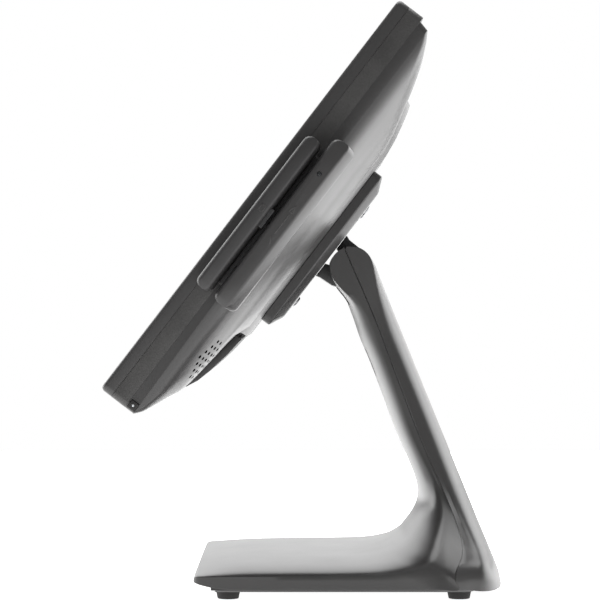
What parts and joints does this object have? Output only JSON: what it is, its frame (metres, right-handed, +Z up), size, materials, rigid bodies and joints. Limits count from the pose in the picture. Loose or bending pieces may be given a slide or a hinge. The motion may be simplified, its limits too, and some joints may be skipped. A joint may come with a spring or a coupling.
{
  "type": "touchscreen pos terminal",
  "caption": "Flat touchscreen sales terminal with a side card reader, tilting on a leaning arm over a broad flat foot.",
  "frame": {"origin": "on the counter, under the middle of the object's box", "axes": "+X to the user's right, where the card reader is; the user stands at -Y and looks along +Y; +Z up"},
  "size_m": [0.3852, 0.2517, 0.37],
  "materials": {
    "case_plastic": "satin",
    "textured_plastic": "fine grain",
    "stand_coat": "satin with a faint metallic flake",
    "screen_glass": "glossy",
    "panel_metal": "satin",
    "steel": "plated",
    "black_steel": "powder coated",
    "alloy": "extruded",
    "board": "solder mask",
    "rubber": "matte",
    "light_pipe": "clear"
  },
  "bodies": {
    "stand": {"stand_front_shell": "stand_coat", "stand_rear_shell": "stand_coat", "base_tray": "case_plastic", "base_weight": "black_steel", "foot_1": "rubber", "foot_2": "rubber", "foot_3": "rubber", "foot_4": "rubber", "base_screw_1": "steel", "base_screw_2": "steel", "base_screw_3": "steel", "base_screw_4": "steel", "upright_frame": "black_steel", "hinge_shaft": "steel", "friction_washer_left": "black_steel", "friction_washer_right": "black_steel", "hinge_nut_left": "steel", "hinge_nut_right": "steel"},
    "head": {"front_bezel": "case_plastic", "touch_glass": "screen_glass", "mid_frame": "textured_plastic", "rear_cover": "case_plastic", "cable_cover": "case_plastic", "system_cover": "case_plastic", "lcd_panel": "panel_metal", "lcd_chassis": "steel", "mainboard": "board", "heat_sink": "alloy", "io_panel": "steel", "power_socket": "black_steel", "lan_socket": "steel", "usb_socket_left": "steel", "usb_socket_right": "steel", "serial_socket": "steel", "video_socket": "steel", "speaker_left": "black_steel", "speaker_right": "black_steel", "reader_front_body": "case_plastic", "reader_rear_body": "case_plastic", "reader_base": "case_plastic", "reader_led": "light_pipe", "mounting_plate": "case_plastic", "plate_screw_1": "steel", "plate_screw_2": "steel", "plate_screw_3": "steel", "plate_screw_4": "steel", "hinge_bracket": "black_steel"},
    "power_button": {"power_button": "rubber"},
    "read_head": {"read_head": "steel"}
  },
  "joints": [
    {"name": "head_tilt", "type": "hinge", "parent": "stand", "child": "head", "pos_m": [-0.0125, 0.027, 0.2112], "axis": [1, 0, 0], "range_deg": [-35, 37.5]},
    {"name": "power_button_press", "type": "slide", "parent": "head", "child": "power_button", "axis": [-1, 0, 0], "range_m": [0, 0.0012], "stiffness_N_per_m": 1000, "springref_m": -0.0005},
    {"name": "read_head_float", "type": "slide", "parent": "head", "child": "read_head", "axis": [0, -0.7934, 0.6088], "range_m": [0, 0.0008], "stiffness_N_per_m": 600, "springref_m": -0.0004}
  ]
}
